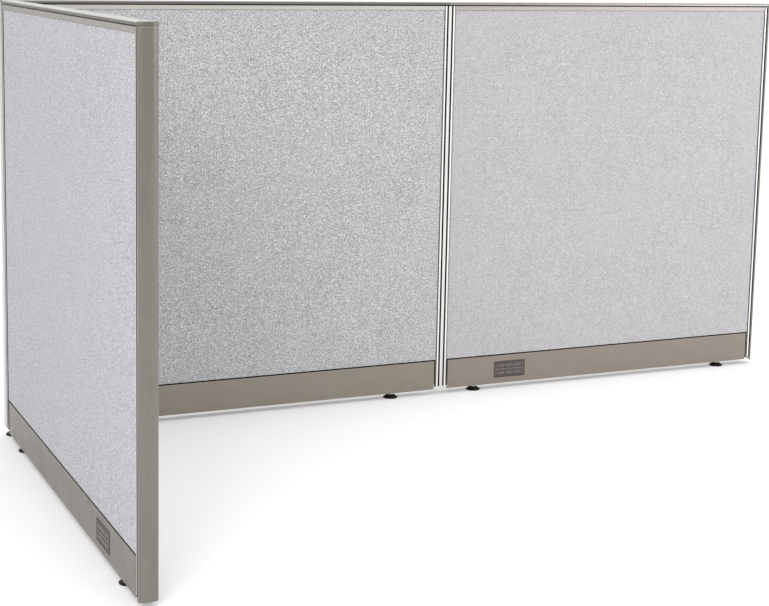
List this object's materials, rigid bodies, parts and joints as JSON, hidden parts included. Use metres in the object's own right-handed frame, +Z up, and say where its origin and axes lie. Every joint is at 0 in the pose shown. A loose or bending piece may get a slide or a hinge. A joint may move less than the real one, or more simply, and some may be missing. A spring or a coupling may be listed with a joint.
{
  "type": "study carrel screen",
  "caption": "L-shaped free-standing fabric partition of panels on a cable raceway base, with hinged kick plates and levelling glides.",
  "frame": {"origin": "on the floor, in the middle of the rectangle that the L fills", "axes": "+Z up; +X along the back run towards its free end; the wing runs towards -Y from the -X end"},
  "size_m": [2.65, 1.421, 1.27],
  "materials": {
    "fabric": "heather weave, light grey",
    "frame_metal": "satin anodised, warm grey",
    "rail_metal": "satin anodised, warm light grey",
    "base_rail_metal": "matt, near black",
    "cap_metal": "satin anodised, warm grey",
    "cover_metal": "satin anodised, warm grey",
    "kick_metal": "satin, warm grey",
    "end_cap_plastic": "matte grey",
    "outlet_plastic": "matte brown grey",
    "glide_plastic": "matte black",
    "clip_plastic": "natural",
    "zinc_steel": "zinc plated",
    "core_board": "brown hardboard"
  },
  "bodies": {
    "frame": {"wing_stile_start": "frame_metal", "wing_stile_end": "frame_metal", "wing_top_rail": "rail_metal", "wing_base_rail": "base_rail_metal", "wing_septum": "core_board", "wing_top_cap": "cap_metal", "wing_tile_outer": "fabric", "wing_tile_inner": "fabric", "centre_stile_start": "frame_metal", "centre_stile_end": "frame_metal", "centre_top_rail": "rail_metal", "centre_base_rail": "base_rail_metal", "centre_septum": "core_board", "centre_top_cap": "cap_metal", "centre_tile_front": "fabric", "centre_tile_back": "fabric", "right_stile_start": "frame_metal", "right_stile_end": "frame_metal", "right_top_rail": "rail_metal", "right_base_rail": "base_rail_metal", "right_septum": "core_board", "right_top_cap": "cap_metal", "right_tile_front": "fabric", "right_tile_back": "fabric", "inner_corner_filler": "kick_metal", "leveller_brackets": "zinc_steel", "corner_post": "frame_metal", "post_cap": "cap_metal", "post_foot_block": "zinc_steel", "connector_strip": "frame_metal", "wing_end_cover": "cover_metal", "right_end_cover": "cover_metal", "wing_end_cap": "end_cap_plastic", "right_end_cap": "end_cap_plastic", "draw_bolts": "zinc_steel", "draw_nuts": "zinc_steel", "corner_screws": "zinc_steel", "tile_clips": "clip_plastic"},
    "wing_outer_kick": {"wing_kick_outer": "kick_metal", "wing_outlet_plate": "outlet_plastic"},
    "wing_inner_kick": {"wing_kick_inner": "kick_metal"},
    "centre_front_kick": {"centre_kick_front": "kick_metal"},
    "centre_back_kick": {"centre_kick_back": "kick_metal"},
    "right_front_kick": {"right_kick_front": "kick_metal", "right_outlet_plate": "outlet_plastic"},
    "right_back_kick": {"right_kick_back": "kick_metal"},
    "corner_pad": {"pad_corner": "glide_plastic"},
    "corner_stud": {"stud_corner": "zinc_steel"},
    "wing_far_pad": {"pad_wing_far": "glide_plastic"},
    "wing_far_stud": {"stud_wing_far": "zinc_steel"},
    "wing_near_pad": {"pad_wing_near": "glide_plastic"},
    "wing_near_stud": {"stud_wing_near": "zinc_steel"},
    "centre_left_pad": {"pad_centre_left": "glide_plastic"},
    "centre_left_stud": {"stud_centre_left": "zinc_steel"},
    "centre_right_pad": {"pad_centre_right": "glide_plastic"},
    "centre_right_stud": {"stud_centre_right": "zinc_steel"},
    "right_left_pad": {"pad_right_left": "glide_plastic"},
    "right_left_stud": {"stud_right_left": "zinc_steel"},
    "right_right_pad": {"pad_right_right": "glide_plastic"},
    "right_right_stud": {"stud_right_right": "zinc_steel"}
  },
  "joints": [
    {"name": "wing_outer_kick_hinge", "type": "hinge", "parent": "frame", "child": "wing_outer_kick", "pos_m": [-1.318, -0.0165, 0.106], "axis": [0, 1, 0], "range_deg": [0, 35]},
    {"name": "wing_inner_kick_hinge", "type": "hinge", "parent": "frame", "child": "wing_inner_kick", "pos_m": [-1.286, -0.0165, 0.106], "axis": [0, -1, 0], "range_deg": [0, 35]},
    {"name": "centre_front_kick_hinge", "type": "hinge", "parent": "frame", "child": "centre_front_kick", "pos_m": [-0.598, 0.6715, 0.106], "axis": [-1, 0, 0], "range_deg": [0, 35]},
    {"name": "centre_back_kick_hinge", "type": "hinge", "parent": "frame", "child": "centre_back_kick", "pos_m": [-0.598, 0.7035, 0.106], "axis": [1, 0, 0], "range_deg": [0, 35]},
    {"name": "right_front_kick_hinge", "type": "hinge", "parent": "frame", "child": "right_front_kick", "pos_m": [0.7025, 0.6715, 0.106], "axis": [-1, 0, 0], "range_deg": [0, 35]},
    {"name": "right_back_kick_hinge", "type": "hinge", "parent": "frame", "child": "right_back_kick", "pos_m": [0.7025, 0.7035, 0.106], "axis": [1, 0, 0], "range_deg": [0, 35]},
    {"name": "corner_height", "type": "slide", "parent": "frame", "child": "corner_pad", "axis": [0, 0, -1], "range_m": [-0.006, 0.02]},
    {"name": "corner_turn", "type": "hinge", "parent": "corner_pad", "child": "corner_stud", "pos_m": [-1.302, 0.6875, 0.01], "axis": [0, 0, -1], "range_deg": [-1441, 4801]},
    {"name": "wing_far_height", "type": "slide", "parent": "frame", "child": "wing_far_pad", "axis": [0, 0, -1], "range_m": [-0.006, 0.02]},
    {"name": "wing_far_turn", "type": "hinge", "parent": "wing_far_pad", "child": "wing_far_stud", "pos_m": [-1.302, 0.5145, 0.01], "axis": [0, 0, -1], "range_deg": [-1441, 4801]},
    {"name": "wing_near_height", "type": "slide", "parent": "frame", "child": "wing_near_pad", "axis": [0, 0, -1], "range_m": [-0.006, 0.02]},
    {"name": "wing_near_turn", "type": "hinge", "parent": "wing_near_pad", "child": "wing_near_stud", "pos_m": [-1.302, -0.5475, 0.01], "axis": [0, 0, -1], "range_deg": [-1441, 4801]},
    {"name": "centre_left_height", "type": "slide", "parent": "frame", "child": "centre_left_pad", "axis": [0, 0, -1], "range_m": [-0.006, 0.02]},
    {"name": "centre_left_turn", "type": "hinge", "parent": "centre_left_pad", "child": "centre_left_stud", "pos_m": [-1.114, 0.6875, 0.01], "axis": [0, 0, -1], "range_deg": [-1441, 4801]},
    {"name": "centre_right_height", "type": "slide", "parent": "frame", "child": "centre_right_pad", "axis": [0, 0, -1], "range_m": [-0.006, 0.02]},
    {"name": "centre_right_turn", "type": "hinge", "parent": "centre_right_pad", "child": "centre_right_stud", "pos_m": [-0.082, 0.6875, 0.01], "axis": [0, 0, -1], "range_deg": [-1441, 4801]},
    {"name": "right_left_height", "type": "slide", "parent": "frame", "child": "right_left_pad", "axis": [0, 0, -1], "range_m": [-0.006, 0.02]},
    {"name": "right_left_turn", "type": "hinge", "parent": "right_left_pad", "child": "right_left_stud", "pos_m": [0.219, 0.6875, 0.01], "axis": [0, 0, -1], "range_deg": [-1441, 4801]},
    {"name": "right_right_height", "type": "slide", "parent": "frame", "child": "right_right_pad", "axis": [0, 0, -1], "range_m": [-0.006, 0.02]},
    {"name": "right_right_turn", "type": "hinge", "parent": "right_right_pad", "child": "right_right_stud", "pos_m": [1.186, 0.6875, 0.01], "axis": [0, 0, -1], "range_deg": [-1441, 4801]}
  ],
  "couplings": [
    {"joint": "corner_turn", "follows": "corner_height", "rad_per_m": 4188.8},
    {"joint": "wing_far_turn", "follows": "wing_far_height", "rad_per_m": 4188.8},
    {"joint": "wing_near_turn", "follows": "wing_near_height", "rad_per_m": 4188.8},
    {"joint": "centre_left_turn", "follows": "centre_left_height", "rad_per_m": 4188.8},
    {"joint": "centre_right_turn", "follows": "centre_right_height", "rad_per_m": 4188.8},
    {"joint": "right_left_turn", "follows": "right_left_height", "rad_per_m": 4188.8},
    {"joint": "right_right_turn", "follows": "right_right_height", "rad_per_m": 4188.8}
  ]
}
